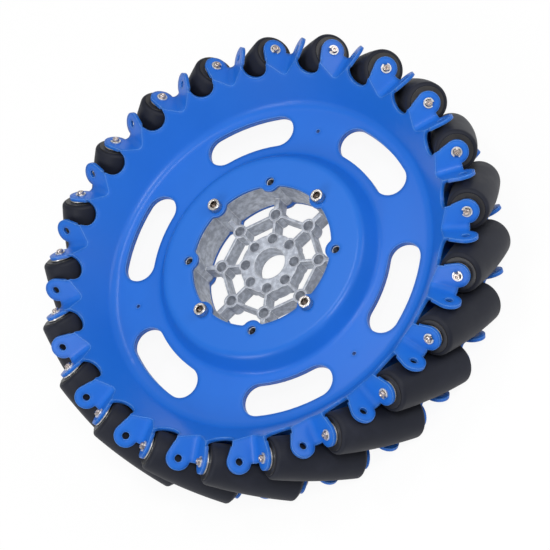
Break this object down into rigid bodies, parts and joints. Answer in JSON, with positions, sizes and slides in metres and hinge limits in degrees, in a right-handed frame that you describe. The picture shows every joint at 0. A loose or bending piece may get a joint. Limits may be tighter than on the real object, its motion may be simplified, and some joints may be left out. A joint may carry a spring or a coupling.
{
  "type": "mecanum wheel",
  "caption": "Mecanum wheel: two bent sheet plates on a cast spider hub, with free barrel rollers at 45 degrees in ears round the rim.",
  "frame": {"origin": "wheel centre, on the plane where the two plates meet, on the axis of the bore", "axes": "+Z along the wheel's axis towards its front plate; +X through the middle of a long slot and a screw hole"},
  "size_m": [0.361, 0.361, 0.0686],
  "materials": {
    "plate_paint": "satin blue powder coat",
    "cast_hub": "fine cast aluminium",
    "screw_steel": "zinc plated",
    "pin_steel": "ground",
    "clip_steel": "bright spring steel",
    "washer_steel": "bright",
    "roller_core": "moulded",
    "roller_tread": "smooth matt rubber"
  },
  "bodies": {
    "wheel_frame": {"front_plate": "plate_paint", "rear_plate": "plate_paint", "spider_hub": "cast_hub", "front_hub_screws": "screw_steel", "rear_hub_screws": "screw_steel", "axle_pins": "pin_steel", "retaining_clips_front": "clip_steel", "retaining_clips_rear": "clip_steel", "thrust_washers_front": "washer_steel", "thrust_washers_rear": "washer_steel"},
    "roller_01": {"roller_core_01": "roller_core", "roller_tread_01": "roller_tread"},
    "roller_02": {"roller_core_02": "roller_core", "roller_tread_02": "roller_tread"},
    "roller_03": {"roller_core_03": "roller_core", "roller_tread_03": "roller_tread"},
    "roller_04": {"roller_core_04": "roller_core", "roller_tread_04": "roller_tread"},
    "roller_05": {"roller_core_05": "roller_core", "roller_tread_05": "roller_tread"},
    "roller_06": {"roller_core_06": "roller_core", "roller_tread_06": "roller_tread"},
    "roller_07": {"roller_core_07": "roller_core", "roller_tread_07": "roller_tread"},
    "roller_08": {"roller_core_08": "roller_core", "roller_tread_08": "roller_tread"},
    "roller_09": {"roller_core_09": "roller_core", "roller_tread_09": "roller_tread"},
    "roller_10": {"roller_core_10": "roller_core", "roller_tread_10": "roller_tread"},
    "roller_11": {"roller_core_11": "roller_core", "roller_tread_11": "roller_tread"},
    "roller_12": {"roller_core_12": "roller_core", "roller_tread_12": "roller_tread"},
    "roller_13": {"roller_core_13": "roller_core", "roller_tread_13": "roller_tread"},
    "roller_14": {"roller_core_14": "roller_core", "roller_tread_14": "roller_tread"},
    "roller_15": {"roller_core_15": "roller_core", "roller_tread_15": "roller_tread"},
    "roller_16": {"roller_core_16": "roller_core", "roller_tread_16": "roller_tread"},
    "roller_17": {"roller_core_17": "roller_core", "roller_tread_17": "roller_tread"},
    "roller_18": {"roller_core_18": "roller_core", "roller_tread_18": "roller_tread"},
    "roller_19": {"roller_core_19": "roller_core", "roller_tread_19": "roller_tread"},
    "roller_20": {"roller_core_20": "roller_core", "roller_tread_20": "roller_tread"},
    "roller_21": {"roller_core_21": "roller_core", "roller_tread_21": "roller_tread"}
  },
  "joints": [
    {"name": "roller_01_spin", "type": "hinge", "parent": "wheel_frame", "child": "roller_01", "pos_m": [0.15221, 0.05974, 0], "axis": [0.2583, -0.6582, 0.7071], "continuous": true},
    {"name": "roller_02_spin", "type": "hinge", "parent": "wheel_frame", "child": "roller_02", "pos_m": [0.12784, 0.10195, 0], "axis": [0.4409, -0.5528, 0.7071], "continuous": true},
    {"name": "roller_03_spin", "type": "hinge", "parent": "wheel_frame", "child": "roller_03", "pos_m": [0.09211, 0.1351, 0], "axis": [0.5842, -0.3983, 0.7071], "continuous": true},
    {"name": "roller_04_spin", "type": "hinge", "parent": "wheel_frame", "child": "roller_04", "pos_m": [0.0482, 0.15625, 0], "axis": [0.6757, -0.2084, 0.7071], "continuous": true},
    {"name": "roller_05_spin", "type": "hinge", "parent": "wheel_frame", "child": "roller_05", "pos_m": [0, 0.16352, 0], "axis": [0.7071, 0, 0.7071], "continuous": true},
    {"name": "roller_06_spin", "type": "hinge", "parent": "wheel_frame", "child": "roller_06", "pos_m": [-0.0482, 0.15625, 0], "axis": [0.6757, 0.2084, 0.7071], "continuous": true},
    {"name": "roller_07_spin", "type": "hinge", "parent": "wheel_frame", "child": "roller_07", "pos_m": [-0.09211, 0.1351, 0], "axis": [0.5842, 0.3983, 0.7071], "continuous": true},
    {"name": "roller_08_spin", "type": "hinge", "parent": "wheel_frame", "child": "roller_08", "pos_m": [-0.12784, 0.10195, 0], "axis": [0.4409, 0.5528, 0.7071], "continuous": true},
    {"name": "roller_09_spin", "type": "hinge", "parent": "wheel_frame", "child": "roller_09", "pos_m": [-0.15221, 0.05974, 0], "axis": [0.2583, 0.6582, 0.7071], "continuous": true},
    {"name": "roller_10_spin", "type": "hinge", "parent": "wheel_frame", "child": "roller_10", "pos_m": [-0.16306, 0.01222, 0], "axis": [0.0528, 0.7051, 0.7071], "continuous": true},
    {"name": "roller_11_spin", "type": "hinge", "parent": "wheel_frame", "child": "roller_11", "pos_m": [-0.15942, -0.03639, 0], "axis": [-0.1573, 0.6894, 0.7071], "continuous": true},
    {"name": "roller_12_spin", "type": "hinge", "parent": "wheel_frame", "child": "roller_12", "pos_m": [-0.14161, -0.08176, 0], "axis": [-0.3536, 0.6124, 0.7071], "continuous": true},
    {"name": "roller_13_spin", "type": "hinge", "parent": "wheel_frame", "child": "roller_13", "pos_m": [-0.11122, -0.11987, 0], "axis": [-0.5183, 0.481, 0.7071], "continuous": true},
    {"name": "roller_14_spin", "type": "hinge", "parent": "wheel_frame", "child": "roller_14", "pos_m": [-0.07095, -0.14732, 0], "axis": [-0.6371, 0.3068, 0.7071], "continuous": true},
    {"name": "roller_15_spin", "type": "hinge", "parent": "wheel_frame", "child": "roller_15", "pos_m": [-0.02437, -0.16169, 0], "axis": [-0.6992, 0.1054, 0.7071], "continuous": true},
    {"name": "roller_16_spin", "type": "hinge", "parent": "wheel_frame", "child": "roller_16", "pos_m": [0.02437, -0.16169, 0], "axis": [-0.6992, -0.1054, 0.7071], "continuous": true},
    {"name": "roller_17_spin", "type": "hinge", "parent": "wheel_frame", "child": "roller_17", "pos_m": [0.07095, -0.14732, 0], "axis": [-0.6371, -0.3068, 0.7071], "continuous": true},
    {"name": "roller_18_spin", "type": "hinge", "parent": "wheel_frame", "child": "roller_18", "pos_m": [0.11122, -0.11987, 0], "axis": [-0.5183, -0.481, 0.7071], "continuous": true},
    {"name": "roller_19_spin", "type": "hinge", "parent": "wheel_frame", "child": "roller_19", "pos_m": [0.14161, -0.08176, 0], "axis": [-0.3536, -0.6124, 0.7071], "continuous": true},
    {"name": "roller_20_spin", "type": "hinge", "parent": "wheel_frame", "child": "roller_20", "pos_m": [0.15942, -0.03639, 0], "axis": [-0.1573, -0.6894, 0.7071], "continuous": true},
    {"name": "roller_21_spin", "type": "hinge", "parent": "wheel_frame", "child": "roller_21", "pos_m": [0.16306, 0.01222, 0], "axis": [0.0528, -0.7051, 0.7071], "continuous": true}
  ]
}
